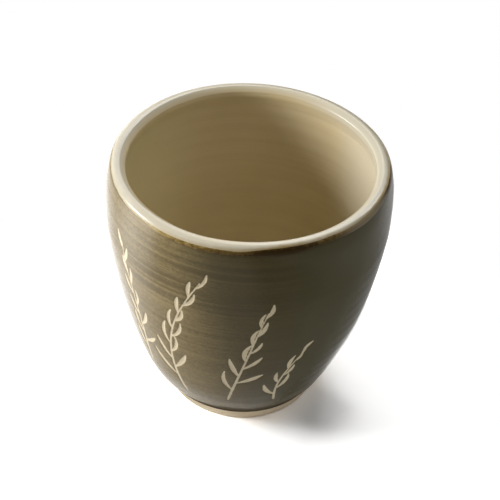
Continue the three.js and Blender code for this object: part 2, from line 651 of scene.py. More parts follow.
@dataclass(frozen=True)
class SlipFinish:
    """Dark olive slip, brushed on while the pot turned, under a clear glaze, and scratched to the clay."""

    thick_hollow: Colour = (0.071, 0.054, 0.021)
    thick_ridge: Colour = (0.093, 0.070, 0.028)
    thin_hollow: Colour = (0.118, 0.085, 0.032)
    thin_ridge: Colour = (0.232, 0.173, 0.073)
    olive: Colour = (0.071, 0.060, 0.023)
    brown: Colour = (0.036, 0.022, 0.007)
    scratched: Colour = (0.64, 0.54, 0.36)
    residue: Colour = (0.34, 0.27, 0.14)
    # Painted sheen: a pale grey that stands in for a reflection above the foot.
    painted_sheen: Colour = (0.34, 0.315, 0.26)
    # Painted shade: a dark brown for the slip's lower end above the foot.
    edge: Colour = (0.070, 0.050, 0.024)
    roughness: float = 0.15
    carved_roughness: float = 0.12
    edge_roughness: float = 0.6
    specular: float = 0.12
    bands: Pattern = Pattern(9.0, 340.0, 1.0, 0.5, (4.0, 1.0, 8.0))
    lines: Pattern = Pattern(13.0, 860.0, 2.0, 0.6, (1.0, 2.0, 3.0))
    grain: Pattern = Pattern(900.0, 1500.0, 2.0, 0.6, (2.0, 6.0, 5.0))
    patches: Pattern = Pattern(38.0, 150.0, 2.0, 0.5, (6.0, 2.0, 7.0))
    cloud: Pattern = Pattern(160.0, 260.0, 3.0, 0.6, (9.0, 4.0, 2.0))
    fray: Pattern = Pattern(1500.0, 1500.0, 2.0, 0.6)
    crumbs: Pattern = Pattern(800.0, 800.0, 3.0, 0.65, (3.0, 3.0, 3.0))
    pores: Pattern = Pattern(1800.0, 1800.0)
    line_share: float = 0.66
    brush_gain: float = 3.4
    grain_gain: float = 1.1
    patch_span: Span = (0.36, 0.62)
    patch_gain: float = 0.7
    patch_least: float = 0.6
    brushed_height: Span = (42.0 * MM, 76.0 * MM)
    even_side: Span = (-25.0 * MM, -37.0 * MM)
    even_share: float = 0.65
    olive_side: Span = (0.0, 24.0 * MM)
    stain_span: Span = (0.15, 0.95)
    edge_span: Span = (0.22, 0.58)
    carve_span: Span = (-0.10, 0.10)
    fray_reach: float = 0.28
    crumb_span: Span = (0.50, 0.74)
    crumb_share: float = 0.45
    relief: float = 0.012 * MM

    def streaks(self, tree: ShaderTree) -> Wire:
        """Brush marks: noise drawn out along the turn, in bands, lines and grain, and calmer lower down.

        Args:
            tree: The slip's tree.

        Returns:
            Values about one half, low in hollows and high on ridges.
        """
        strokes = tree.noise(self.bands) * (1 - self.line_share) + tree.noise(self.lines) * self.line_share
        upper = tree.ease(tree.axis("Z"), *self.brushed_height)
        even = 1 - tree.ease(tree.axis("X"), *self.even_side) * self.even_share
        patches = tree.ease(tree.noise(self.patches), *self.patch_span) * self.patch_gain + self.patch_least
        brushed = (strokes - 0.5) * (upper * self.brush_gain + 1.0) * patches * even
        return brushed + (tree.noise(self.grain) - 0.5) * self.grain_gain + 0.5

    def material(self) -> bpy.types.Material:
        """Build the finish.

        The attribute carve is the distance to the nearest scratched edge in millimetres. Thin tells where
        the slip is thin, stain how brown the lip's iron has made it, and edge how near its lower end is,
        where shade is painted on. Another attribute tells where a pale sheen is painted on above the foot.

        Returns:
            The material.
        """
        tree = ShaderTree("brushed_slip")
        streak = self.streaks(tree)
        ridge = tree.ease(streak, 0.0, 1.0)
        thick = tree.mix(self.thick_hollow, self.thick_ridge, ridge)
        thick = tree.mix(thick, self.olive, tree.ease(tree.axis("X"), *self.olive_side))
        thin = tree.mix(self.thin_hollow, self.thin_ridge, ridge)
        slip = tree.mix(thick, thin, tree.value_of("thin"))
        cloud = tree.noise(self.cloud) - 0.5
        stain = tree.ease(tree.value_of("stain") + cloud * 0.5, *self.stain_span)
        slip = tree.mix(slip, self.brown, stain)
        # Painted sheen: a pale band above the foot.
        slip = tree.mix(slip, self.painted_sheen, tree.value_of("painted_sheen_share") * (ridge * 0.4 + 0.8))
        # Painted shade: the slip darkens towards its lower end above the foot.
        edge = tree.ease(tree.value_of("edge") + cloud * 0.2, *self.edge_span)
        slip = tree.mix(slip, self.edge, edge)
        fray = (tree.noise(self.fray) - 0.5) * self.fray_reach
        carved = 1 - tree.ease(tree.value_of("carve") + fray, *self.carve_span)
        crumbs = tree.ease(tree.noise(self.crumbs), *self.crumb_span)
        line = tree.mix(self.scratched, self.residue, crumbs * self.crumb_share)
        relief = streak * 0.8 + tree.noise(self.pores) * 0.2
        sockets = {
            "Base Color": tree.mix(slip, line, carved),
            "Roughness": self.roughness + carved * self.carved_roughness + edge * self.edge_roughness,
            "Specular IOR Level": self.specular,
            "Normal": tree.bump(relief, self.relief),
        }
        return tree.finish(sockets)


@dataclass(frozen=True)
class IronFinish:
    """Iron-brown line: nearly black where it is thick, golden where it is thin."""

    dark: Colour = (0.044, 0.024, 0.004)
    brown: Colour = (0.130, 0.078, 0.018)
    gold: Colour = (0.36, 0.26, 0.09)
    pale: Colour = (0.50, 0.43, 0.28)
    greyer: Colour = (0.28, 0.235, 0.16)
    roughness: float = 0.34
    specular: float = 0.12
    mottle: Pattern = Pattern(700.0, 900.0, 3.0, 0.65)
    mottle_gain: float = 0.75
    greyer_side: Span = (24.0 * MM, 33.0 * MM)
    greyer_front: Span = (-9.0 * MM, -18.0 * MM)

    def material(self) -> bpy.types.Material:
        """Build the finish. The attribute iron is how much iron the line holds, from 0 to 1."""
        tree = ShaderTree("iron_break")
        mottle = tree.noise(self.mottle) - 0.5
        amount = tree.value_of("iron") + mottle * self.mottle_gain
        stops = [(0.05, self.pale), (0.30, self.gold), (0.58, self.brown), (0.85, self.dark)]
        colour = tree.node("ShaderNodeValToRGB", {"stops": stops}, {"Fac": amount})
        # Greyer brown at the right front.
        greyer = tree.ease(tree.axis("X"), *self.greyer_side) * tree.ease(tree.axis("Y"), *self.greyer_front)
        sockets = {
            "Base Color": tree.mix(colour, self.greyer, greyer * (mottle * 0.8 + 0.65)),
            "Roughness": self.roughness,
            "Specular IOR Level": self.specular,
        }
        return tree.finish(sockets)


@dataclass(frozen=True)
class LipFinish:
    """Pale glaze over the lip: golden near its outer edge, and creamier down the inside, where it is thin;
    that cream is also warmed as painted light thrown back from the inside. Painted light and shade make it
    differ from side to side.

    Spans whose names end in side or front are metres. The others are millimetres from the glaze's outer
    edge or from the lip's shoulder.
    """

    pale: Colour = (0.665, 0.602, 0.464)
    # shaded is painted shade for the right outside, bright a painted highlight for the lit left outside and
    # for the highlight lines, and sunny a paler painted light for the lit right inside.
    shaded: Colour = (0.56, 0.51, 0.39)
    bright: Colour = (0.75, 0.70, 0.585)
    cream: Colour = (0.65, 0.53, 0.305)
    cream_left: Colour = (0.74, 0.61, 0.36)
    sunny: Colour = (0.59, 0.54, 0.415)
    thin: Colour = (0.42, 0.385, 0.28)
    stain: Colour = (0.42, 0.30, 0.12)
    lining: Colour = (0.635, 0.53, 0.33)
    # Painted light: a paler lining for the lit right inside.
    lining_sunny: Colour = (0.66, 0.588, 0.435)
    lining_leafy: Colour = (0.675, 0.59, 0.345)
    roughness: float = 0.23
    cloud_roughness: float = 0.06
    inner_roughness: float = 0.11
    specular: float = 0.36
    cloud: Pattern = Pattern(60.0, 300.0, 3.0, 0.6, (1.0, 5.0, 2.0))
    fray: Pattern = Pattern(300.0, 500.0, 3.0, 0.6)
    relief: Pattern = Pattern(240.0, 240.0)
    relief_depth: float = 0.10 * MM
    relief_strength: float = 0.4
    sunny_side: Span = (8.0 * MM, 32.0 * MM)
    right_side: Span = (22.0 * MM, 37.0 * MM)
    lit_side: Span = (-28.0 * MM, -39.0 * MM)
    creamy_side: Span = (-4.0 * MM, -24.0 * MM)
    paler_inward_side: Span = (-10.0 * MM, -34.0 * MM)
    leafy_side: Span = (-14.0 * MM, -37.0 * MM)
    early_side: Span = (0.0, -22.0 * MM)
    early_front: Span = (-5.0 * MM, 22.0 * MM)
    early: float = 1.2
    outside: Span = (2.4, 4.0)
    lit_share: float = 0.7
    creamy: Span = (1.4, 5.0)
    cloud_reach: float = 1.5
    fray_reach: float = 1.2
    thinned: Span = (-0.3, 2.4)
    stained: Span = (0.05, 1.3)
    lined: Span = (6.2, 10.0)
    duller: Span = (5.5, 10.0)
    # Places and half width of pale lines painted along the lip as highlights.
    outer_highlight: float = 3.75
    inner_highlight: float = 5.9
    highlight_width: float = 0.55

    def over_lip(self, tree: ShaderTree, edge: Wire, cloud: Wire) -> Wire:
        """Colour of the lip itself: painted highlight on the lit left outside, painted shade on the right
        outside, and a paler painted light on the lit right inside. It turns to cream away from its edge.

        Args:
            tree: The glaze's tree.
            edge: Distance from the outer edge in millimetres.
            cloud: Noise about zero.

        Returns:
            The colour.
        """
        side = tree.axis("X")
        # The cream is richer at the left, and at the lit right paler and greyer as painted light.
        cream = tree.mix(self.cream, self.cream_left, tree.ease(side, *self.creamy_side))
        cream = tree.mix(cream, self.sunny, tree.ease(side, *self.sunny_side))
        # Painted shade on the right outside, away from the light.
        pale = tree.mix(self.pale, self.shaded, tree.ease(side, *self.right_side))
        outside = 1 - tree.ease(tree.value_of("over"), *self.outside)
        # Painted highlight on the lit left outside.
        pale = tree.mix(pale, self.bright, tree.ease(side, *self.lit_side) * outside * self.lit_share)
        # The pale part reaches further in at the left.
        deep = edge + cloud * self.cloud_reach - tree.ease(side, *self.paler_inward_side)
        return tree.mix(pale, cream, tree.ease(deep, *self.creamy))

    def inside(self, tree: ShaderTree) -> Wire:
        """Colour down the inside: painted paler at the lit right, and greener at the left."""
        side = tree.axis("X")
        lining = tree.mix(self.lining, self.lining_sunny, tree.ease(side, *self.right_side))
        return tree.mix(lining, self.lining_leafy, tree.ease(side, *self.leafy_side))

    def material(self) -> bpy.types.Material:
        """Build the finish.

        The attribute edge is the distance from the outer edge in millimetres, over that from the lip's
        shoulder, and iron how much of it the edge holds. A fourth attribute darkens the glaze along that
        edge: thin glaze there, and on the lit left also painted shade.

        Returns:
            The material.
        """
        tree = ShaderTree("lip_glaze")
        edge = tree.value_of("edge")
        cloud = tree.noise(self.cloud) - 0.5
        ground = self.over_lip(tree, edge, cloud)
        frayed = edge + (tree.noise(self.fray) - 0.5) * self.fray_reach
        thinned = 1 - tree.ease(frayed, *self.thinned)
        # Darker along the outer edge: thin glaze, and on the lit left also painted shade.
        ground = tree.mix(ground, self.thin, thinned * tree.value_of("thin_glaze_and_shade"))
        over = tree.value_of("over") + cloud * 0.5
        early = tree.ease(tree.axis("Y"), *self.early_front) * tree.ease(tree.axis("X"), *self.early_side)
        ground = tree.mix(ground, self.inside(tree), tree.ease(over + early * self.early, *self.lined))
        # Painted highlights: pale lines along the lip, the inner one only on the lit right.
        sunny = tree.ease(tree.axis("X"), *self.sunny_side)
        for place, amount in ((self.outer_highlight, 0.5), (self.inner_highlight, sunny * 0.6)):
            line = 1 - tree.ease(abs(over - place), 0.0, self.highlight_width)
            ground = tree.mix(ground, self.bright, line * amount)
        stained = 1 - tree.ease(frayed, *self.stained)
        roughness = self.roughness + (cloud + 0.5) * self.cloud_roughness
        sockets = {
            "Base Color": tree.mix(ground, self.stain, stained * tree.value_of("iron")),
            "Roughness": roughness + tree.ease(over, *self.duller) * self.inner_roughness,
            "Specular IOR Level": self.specular,
            "Normal": tree.bump(tree.noise(self.relief), self.relief_depth, self.relief_strength),
        }
        return tree.finish(sockets)


@dataclass(frozen=True)
class LinerFinish:
    """Cream liner glaze: soft gloss, faint throwing lines, a few pinholes, and painted light that makes it
    paler at the lit right.
    """

    cream: Colour = (0.635, 0.53, 0.33)
    deep: Colour = (0.605, 0.50, 0.295)
    honey: Colour = (0.545, 0.44, 0.245)
    # Painted light: a paler cream for the lit right inside.
    sunny: Colour = (0.68, 0.606, 0.448)
    leafy: Colour = (0.675, 0.59, 0.345)
    roughness: float = 0.34
    cloud_roughness: float = 0.08
    rings: Pattern = Pattern(8.0, 700.0, 2.0, 0.5, (5.0, 5.0, 1.0))
    cloud: Pattern = Pattern(45.0, 45.0, 3.0, 0.55, (2.0, 7.0, 4.0))
    pits: Pattern = Pattern(1300.0, 1300.0, 0.0, 0.5, (8.0, 2.0, 6.0))
    honey_span: Span = (0.38, 0.66)
    honey_share: float = 0.42
    pit_span: Span = (0.82, 0.86)
    pale_height: Span = (40.0 * MM, 76.0 * MM)
    sunny_side: Span = (24.5 * MM, 37.0 * MM)
    leafy_side: Span = (-14.0 * MM, -37.0 * MM)
    relief: float = 0.03 * MM

    def material(self) -> bpy.types.Material:
        """Build the finish."""
        tree = ShaderTree("cream_liner")
        rings = tree.noise(self.rings)
        cloud = tree.noise(self.cloud)
        pits = tree.ease(tree.noise(self.pits), *self.pit_span)
        colour = tree.mix(self.deep, self.cream, tree.ease(tree.axis("Z"), *self.pale_height))
        honey = tree.ease(rings * 0.6 + cloud * 0.4, *self.honey_span) * self.honey_share
        colour = tree.mix(colour, self.honey, honey)
        side = tree.axis("X")
        # Painted light: paler where the right inside is lit.
        colour = tree.mix(colour, self.sunny, tree.ease(side, *self.sunny_side))
        colour = tree.mix(colour, self.leafy, tree.ease(side, *self.leafy_side))
        sockets = {
            "Base Color": tree.mix(colour, self.honey, pits),
            "Roughness": self.roughness + cloud * self.cloud_roughness,
            "Normal": tree.bump(rings - pits * 0.4, self.relief),
        }
        return tree.finish(sockets)


# Scratched design


@dataclass(frozen=True)
class Stroke:
    """One scratch of a tool: its angles round the pot, climbs up the outside, and half width at each."""

    angle: np.ndarray
    climb: np.ndarray
    half_width: np.ndarray


@dataclass(frozen=True)
class Sprig:
    """A leafy stem: where it starts, how it leans and sways, and its leaves, along the pot's outside."""

    angle: float
    climb: float
    length: float
    lean: float
    sway: float
    leaves: int
    leaf_length: float
    seed: int
    stem_half_width: float = 0.44 * MM
    leaf_half_width: float = 0.74 * MM
    least_half_width: float = 0.20 * MM
    leafy_share: Span = (0.16, 0.96)
    turn_degrees: Span = (46.0, 60.0)
    tip_degrees: float = 26.0
    curl_degrees: Span = (8.0, 34.0)
    peak_share: Span = (0.45, 0.62)
    spread: Span = (0.85, 1.15)

    def stem(self, share: np.ndarray) -> tuple[np.ndarray, np.ndarray]:
        """Follow the stem: aside by lean t^2 + sway sin(pi t), up by length t.

        Args:
            share: Share t of the stem, from 0 to 1.

        Returns:
            Distance aside and distance up, from the stem's start.
        """
        aside = self.lean * share**2 + self.sway * np.sin(math.pi * share)
        return aside, self.length * share

    def strokes(self, form: PotForm) -> list[Stroke]:
        """Make the stem and its leaves, which stand on alternate sides and grow smaller towards the tip.

        Args:
            form: The pot, for its radius at each climb.

        Returns:
            All strokes of the sprig.
        """
        draw = np.random.default_rng(self.seed)
        share = np.linspace(0.0, 1.0, 28)
        aside, up = self.stem(share)
        width = self.stem_half_width * (1.05 - 0.62 * share) * kept(share / 0.06 + 0.45)
        made = [self.on_pot(form, aside, up, width)]
        for index, start in enumerate(np.linspace(*self.leafy_share, self.leaves)):
            side = 1.0 if index % 2 else -1.0
            made.append(self.leaf(form, draw, float(start), side))
        return made

    def leaf(self, form: PotForm, draw: np.random.Generator, start: float, side: float) -> Stroke:
        """Make a leaf: it leaves the stem at an angle, curls back along it, and swells by a sine to a peak.

        Args:
            form: The pot.
            draw: Source of the small differences between leaves.
            start: Share of the stem where the leaf grows.
            side: 1 for the right side and -1 for the left one.

        Returns:
            The leaf's stroke.
        """
        root_aside, root_up = self.stem(np.array([start]))
        next_aside, next_up = self.stem(np.array([start + 0.01]))
        heading = math.atan2((next_aside - root_aside)[0], (next_up - root_up)[0])
        turn = heading + side * math.radians(draw.uniform(*self.turn_degrees) - self.tip_degrees * start)
        length = self.leaf_length * draw.uniform(*self.spread) * (1.1 - 0.55 * start)
        along = np.linspace(0.0, 1.0, 18)
        curl = turn - side * math.radians(draw.uniform(*self.curl_degrees)) * along
        aside = root_aside + length * along * np.sin(curl)
        up = root_up + length * along * np.cos(curl)
        peak = draw.uniform(*self.peak_share)
        swell = np.where(along < peak, along / peak, (1.0 - along) / (1.0 - peak))
        full = self.leaf_half_width * draw.uniform(*self.spread)
        full *= 0.55 + 0.45 * length / self.leaf_length
        width = self.least_half_width + (full - self.least_half_width) * np.sin(0.5 * math.pi * swell)
        return self.on_pot(form, aside, up, width)

    def on_pot(self, form: PotForm, aside: np.ndarray, up: np.ndarray, width: np.ndarray) -> Stroke:
        """Lay a flat stroke on the pot: its distance aside becomes an angle by the radius at its climb.

        Args:
            form: The pot.
            aside: Distances aside from the sprig's start.
            up: Distances up from the sprig's start.
            width: Half widths.

        Returns:
            The stroke on the pot.
        """
        climb = self.climb + up
        radius = form.section().at(climb)[0]
        return Stroke(self.angle + aside / radius, climb, width)


def scratch_distance(
    strokes: list[Stroke], angle: np.ndarray, climb: np.ndarray, radius: np.ndarray
) -> np.ndarray:
    """Signed distance to the nearest scratch's edge, below zero inside it.

    For each short piece of a stroke, the nearest point lies at the share of the piece that a straight drop
    from the place meets, kept from 0 to 1. Its distance less the half width there is the signed distance,
    and the least of all pieces counts. Distances aside are angles times the pot's radius at the place.

    Args:
        strokes: All scratches.
        angle: Angle of each place.
        climb: Climb of each place.
        radius: Radius of the pot at each place.

    Returns:
        Distances in metres, shaped as angle, at most far.
    """
    far = 3.0 * MM
    nearest = np.full(angle.shape, far)
    for stroke in strokes:
        margin = far + stroke.half_width.max()
        centre = 0.5 * (stroke.angle.min() + stroke.angle.max())
        apart = (angle - centre + math.pi) % FULL_TURN - math.pi
        close = np.abs(apart) < 0.5 * np.ptp(stroke.angle) + margin / radius
        close &= (climb > stroke.climb.min() - margin) & (climb < stroke.climb.max() + margin)
        if not close.any():
            continue
        x = (stroke.angle[None, :] - centre - apart[close][:, None]) * radius[close][:, None]
        y = stroke.climb[None, :] - climb[close][:, None]
        step_x, step_y = np.diff(x, axis=1), np.diff(y, axis=1)
        drop = -(x[:, :-1] * step_x + y[:, :-1] * step_y) / np.maximum(step_x**2 + step_y**2, 1e-14)
        share = kept(drop)
        distance = np.hypot(x[:, :-1] + share * step_x, y[:, :-1] + share * step_y)
        width = stroke.half_width[:-1] + share * np.diff(stroke.half_width)
        nearest[close] = np.minimum(nearest[close], (distance - width).min(axis=1))
    return nearest


# Pieces


@dataclass(frozen=True)
class RimKnot:
    """The lip glaze's outer edge at one angle in degrees.

    Rise over the shoulder and the iron line's width are millimetres. Iron is how much of it the line holds,
    and the last value how far the glaze is darkened along its edge, both from 0 to 1: thin glaze there, and
    on the lit left also painted shade.
    """

    degrees: float
    rise: float
    iron: float
    width: float
    thin_glaze_and_shade: float


RIM_KNOTS = (
    RimKnot(5.0, 1.55, 0.60, 0.9, 0.60),
    RimKnot(25.0, 1.80, 0.50, 1.0, 0.80),
    RimKnot(45.0, 2.00, 0.45, 1.1, 1.00),
    RimKnot(75.0, 2.10, 0.60, 1.3, 0.90),
    RimKnot(100.0, 1.70, 0.50, 1.0, 0.45),
    RimKnot(130.0, 1.60, 0.14, 0.7, 0.50),
    RimKnot(165.0, 1.60, 0.03, 0.5, 0.35),
    RimKnot(186.0, 1.70, 0.03, 0.4, 0.35),
    RimKnot(195.0, 1.55, 0.02, 0.4, 0.45),
    RimKnot(205.0, 1.20, 0.02, 0.4, 0.70),
    RimKnot(215.0, 0.95, 0.02, 0.4, 0.70),
    RimKnot(226.0, 0.78, 0.08, 0.4, 0.60),
    RimKnot(233.0, 0.66, 0.30, 0.7, 0.35),
    RimKnot(238.0, 0.65, 0.46, 1.1, 0.10),
    RimKnot(250.0, 0.62, 0.55, 1.3, 0.05),
    RimKnot(262.0, 0.70, 0.66, 1.4, 0.05),
    RimKnot(268.0, 0.52, 0.64, 1.2, 0.05),
    RimKnot(273.0, 1.05, 0.90, 1.6, 0.10),
    RimKnot(279.0, 1.42, 1.00, 2.0, 0.10),
    RimKnot(287.0, 1.55, 1.00, 2.3, 0.10),
    RimKnot(291.5, 1.50, 1.00, 2.3, 0.10),
    RimKnot(295.0, 1.50, 0.74, 1.2, 0.10),
    RimKnot(302.0, 1.55, 0.66, 1.3, 0.10),
    RimKnot(315.0, 1.45, 0.56, 1.6, 0.20),
    RimKnot(328.0, 1.75, 0.58, 1.9, 0.35),
    RimKnot(337.0, 1.75, 0.90, 1.4, 0.45),
    RimKnot(346.0, 1.65, 0.95, 1.3, 0.50),
)


@dataclass
class LipEdge:
    """Wavering outer edge of the lip glaze, which the slip and the iron line follow."""

    form: PotForm
    knots: tuple[RimKnot, ...] = RIM_KNOTS
    ripple: float = 0.16 * MM
    evened: float = 3.0

    def along(self, angle: np.ndarray, values: list[float]) -> np.ndarray:
        """Follow values that are set at the knots, in straight steps evened out over a few degrees.

        Args:
            angle: Angles round the axis.
            values: One value for each knot.

        Returns:
            Values shaped as angle.
        """
        knots = [knot.degrees for knot in self.knots]
        shifts = np.linspace(-self.evened, self.evened, 9)
        degrees = np.degrees(angle)
        total = sum(np.interp((degrees + shift) % 360.0, knots, values, period=360.0) for shift in shifts)
        return total / shifts.size

    def run(self, angle: np.ndarray) -> np.ndarray:
        """Run of the section at the edge: the shoulder's run, the rise at each angle and a fine ripple."""
        rise = self.along(angle, [knot.rise * MM for knot in self.knots])
        return self.form.run_outside(self.form.shoulder) + rise + self.ripple * soft_ripple(angle, 70, 31)

    def iron(self, angle: np.ndarray) -> np.ndarray:
        """How much iron shows at each angle, from 0 to 1."""
        return self.along(angle, [knot.iron for knot in self.knots])

    def thin_glaze_and_shade(self, angle: np.ndarray) -> np.ndarray:
        """How far the lip glaze is darkened along its outer edge, from 0 to 1: thin glaze, and on the lit
        left also painted shade.
        """
        return self.along(angle, [knot.thin_glaze_and_shade for knot in self.knots])

    def width(self, angle: np.ndarray) -> np.ndarray:
        """Width of the iron line at each angle."""
        return self.along(angle, [knot.width * MM for knot in self.knots])


@dataclass
class SlipCoat:
    """Brushed dark coat on the outside, with the design scratched through it."""

    edge: LipEdge
    waver: Waver
    finish: SlipFinish = field(default_factory=SlipFinish)
    columns: int = 470
    rows: int = 182
    end_rows: int = 14
    thickness: float = 0.44 * MM
    collar_radius: float = 28.0 * MM
    collar_drop: float = 0.05 * MM
    collar_joint: float = 5.4 * MM
    collar_stiffness: float = 1.9 * MM
    collar_bulk: float = 0.75 * MM
    edge_roll: float = 0.12 * MM
    roll_reach: float = 0.4 * MM
    top_tuck: float = 0.15 * MM
    ring_depth: float = 0.012 * MM
    ring_pitch: float = 5.2 * MM
    ring_start: float = 8.0 * MM
    carve_depth: float = 0.16 * MM
    carve_slope: float = 0.5 * MM
    carve_margin: float = 0.03
    carve_density: float = 3.0
    top_sink: float = 0.07 * MM
    sink_reach: float = 2.6 * MM
    stain_reach: float = 4.5 * MM
    # Painted shade on the slip's lower end: its reach up the wall, and its strength by angle, strongest
    # from the front round to the right.
    edge_reach: float = 12.0 * MM
    foot_shade_degrees: tuple[float, ...] = (200.0, 235.0, 262.0)
    foot_shade_amounts: tuple[float, ...] = (0.50, 0.56, 0.95)
    # Painted sheen above the foot: its middle and width up the wall, and its strength by angle.
    sheen_run: float = 11.5 * MM
    sheen_width: float = 4.0 * MM
    sheen_degrees: tuple[float, ...] = (195.0, 215.0, 240.0, 250.0, 262.0, 280.0)
    sheen_amounts: tuple[float, ...] = (0.0, 0.30, 0.50, 0.32, 0.15, 0.0)
    thin_from: float = math.radians(260.0)
    thin_to: float = math.radians(236.0)
    thin_from_turn: float = math.radians(32.0)
    thin_to_turn: float = math.radians(14.0)
    thin_back_to: float = math.radians(150.0)
    thin_back_from: float = math.radians(95.0)
    # The thin share rises towards the slip's lower end, which makes the slip paler there.
    foot_paling: float = 0.55
    foot_paling_reach: float = 14.0 * MM

    def thinness(self, angle: np.ndarray, low: np.ndarray) -> np.ndarray:
        """How thin the slip is: 1 at one side, by smooth steps to 0 at the other, further round low down.

        Args:
            angle: Angles round the axis, from 0 to a full turn.
            low: How low each place is, from 0 at the top edge to 1 at the bottom edge.

        Returns:
            Values from 0 to 1, shaped as angle.
        """
        start = self.thin_from + self.thin_from_turn * low
        full = self.thin_to + self.thin_to_turn * low
        front = kept((start - angle) / (start - full))
        back = kept((angle - self.thin_back_from) / (self.thin_back_to - self.thin_back_from))
        return smooth(np.minimum(front, back))

    def design(self) -> list[Stroke]:
        """Leafy sprigs in two loose groups, the larger one on the side that faces the camera."""
        degree = math.pi / 180.0
        sprigs = [
            Sprig(216 * degree, 17 * MM, 54 * MM, -2 * MM, 2.5 * MM, 11, 10.0 * MM, 11),
            Sprig(240 * degree, 12 * MM, 60 * MM, 10 * MM, -4.0 * MM, 12, 11.0 * MM, 12),
            Sprig(264 * degree, 14 * MM, 48 * MM, 12 * MM, 2.5 * MM, 10, 10.0 * MM, 13),
            Sprig(289 * degree, 13 * MM, 28 * MM, 7 * MM, -1.5 * MM, 7, 8.5 * MM, 14),
            Sprig(50 * degree, 13 * MM, 52 * MM, 8 * MM, -3.0 * MM, 11, 10.5 * MM, 15),
            Sprig(80 * degree, 11 * MM, 60 * MM, -8 * MM, 3.0 * MM, 13, 11.0 * MM, 16),
            Sprig(108 * degree, 12 * MM, 34 * MM, -7 * MM, 2.0 * MM, 9, 8.5 * MM, 17),
        ]
        return [stroke for sprig in sprigs for stroke in sprig.strokes(self.edge.form)]

    def angles(self, strokes: list[Stroke]) -> np.ndarray:
        """Angles of the columns, denser where there are scratches than elsewhere.

        Args:
            strokes: All scratches.

        Returns:
            Rising angles over one turn.
        """
        fine = np.linspace(0.0, FULL_TURN, 3601)
        density = np.ones_like(fine)
        for stroke in strokes:
            near = fine > stroke.angle.min() - self.carve_margin
            near &= fine < stroke.angle.max() + self.carve_margin
            density[near] = self.carve_density
        summed = np.concatenate([[0.0], np.cumsum(0.5 * (density[1:] + density[:-1]))])
        return np.interp(np.arange(self.columns) / self.columns * summed[-1], summed, fine)

    def collared(self) -> tuple[Section, float]:
        """Finished section whose lower end stands upright in a thick collar over the foot.

        Returns:
            The section, and how much longer than the plain one it is.
        """
        form = self.edge.form
        plain = form.section()
        radius, height, out_radial, out_upright = plain.at(np.array([self.collar_joint]))
        joint = np.array([radius[0], height[0]])
        travel = np.array([-out_upright[0], out_radial[0]])
        low = np.array([self.collar_radius, form.foot_height - self.collar_drop])
        upright = np.array([0.0, self.collar_stiffness])
        collar = cubic(low, low + upright, joint - travel * self.collar_stiffness, joint, 60)
        above = plain.places[plain.runs() > self.collar_joint]
        section = Section(np.vstack([collar, above]))
        return section, float(section.runs()[-1] - plain.runs()[-1])

    def skin(self, angle: np.ndarray, run: np.ndarray, top: np.ndarray, distance: np.ndarray) -> np.ndarray:
        """Lift of the skin: a slow sine up the wall, sunk under the iron line and carved in the scratches.

        Args:
            angle: Angles round the axis.
            run: Runs of the plain section.
            top: Run of the coat's top edge.
            distance: Signed distance to the scratches.

        Returns:
            Distances out of the clay, shaped as run.
        """
        drift = self.ring_pitch * 0.25 * soft_ripple(angle, 3, 21)
        rings = self.ring_depth * np.sin(FULL_TURN * (run + drift) / self.ring_pitch)
        rings *= kept(run / self.ring_start)
        sunk = kept(1.0 - (top - run) / self.sink_reach) * (0.2 + 0.8 * self.edge.iron(angle))
        carve = self.carve_depth * smooth(kept(0.5 - distance / self.carve_slope))
        return rings * (1.0 - sunk) - self.top_sink * sunk - carve

    def values(
        self, angle: np.ndarray, run: np.ndarray, top: np.ndarray, distance: np.ndarray
    ) -> dict[str, np.ndarray]:
        """Numbers that the finish reads at each point.

        Args:
            angle: Angles round the axis.
            run: Runs of the plain section.
            top: Run of the coat's top edge.
            distance: Signed distance to the scratches.

        Returns:
            Arrays shaped as run, by name of the attribute.
        """
        degrees = np.degrees(angle)
        # Strength of the painted sheen by angle.
        painted_sheen_share = np.interp(degrees, self.sheen_degrees, self.sheen_amounts)
        # Strength of the painted shade on the lower end by angle.
        dark = np.interp(degrees, self.foot_shade_degrees, self.foot_shade_amounts)
        near_foot = self.foot_paling * kept(1.0 - run / self.foot_paling_reach)
        return {
            "painted_sheen_share": painted_sheen_share * bell(run - self.sheen_run, self.sheen_width),
            "edge": kept(1.0 - run / self.edge_reach) * dark,
            "carve": distance / MM,
            "thin": np.maximum(self.thinness(angle, 1.0 - run / top), near_foot),
            "stain": kept(1.0 - (top - run) / self.stain_reach) ** 1.5 * self.edge.iron(angle),
        }

    def build(self) -> bpy.types.Object:
        """Make the coat: a skin with rolled ends over a plain back, lowered in the scratches.

        The back lies thickness under the skin, and further at the thick lower end.

        Returns:
            The piece.
        """
        strokes = self.design()
        angle = self.angles(strokes)[:, None]
        top = self.edge.run(angle) - self.top_tuck
        section, longer = self.collared()
        low = np.linspace(-longer, self.collar_joint, self.end_rows)[None, :-1] + 0.0 * top
        share = np.linspace(0.0, 1.0, self.rows)[None, :]
        wall = self.collar_joint + (top - self.collar_joint) * share
        back_share = (1.0 - np.linspace(0.0, 1.0, self.end_rows)[None, :]) ** 2
        back = -longer + (top + longer) * back_share
        run = np.hstack([low, wall, back])
        on_skin = np.arange(run.shape[1])[None, :] < low.shape[1] + self.rows
        angle = angle + 0.0 * run
        radius = section.at(run + longer)[0]
        distance = scratch_distance(strokes, angle, run, radius)
        lower_end = kept(1.0 - (run + longer) / self.roll_reach) ** 2
        skin = self.skin(angle, run, top, distance) - self.edge_roll * lower_end
        lift = np.where(on_skin, skin, -self.thickness - self.collar_bulk * lower_end)
        points = section.lifted(angle[:, 0], run + longer, lift)
        piece = turned_mesh("carved_slip_coat", self.waver.bend(points, self.edge.form.height), Ends.LOOP)
        for name, numbers in self.values(angle, run, top, distance).items():
            point_values(piece, name, numbers)
        piece.data.materials.append(self.finish.material())
        return settle(piece, Slot.DARK_SLIP, "slip_coat")


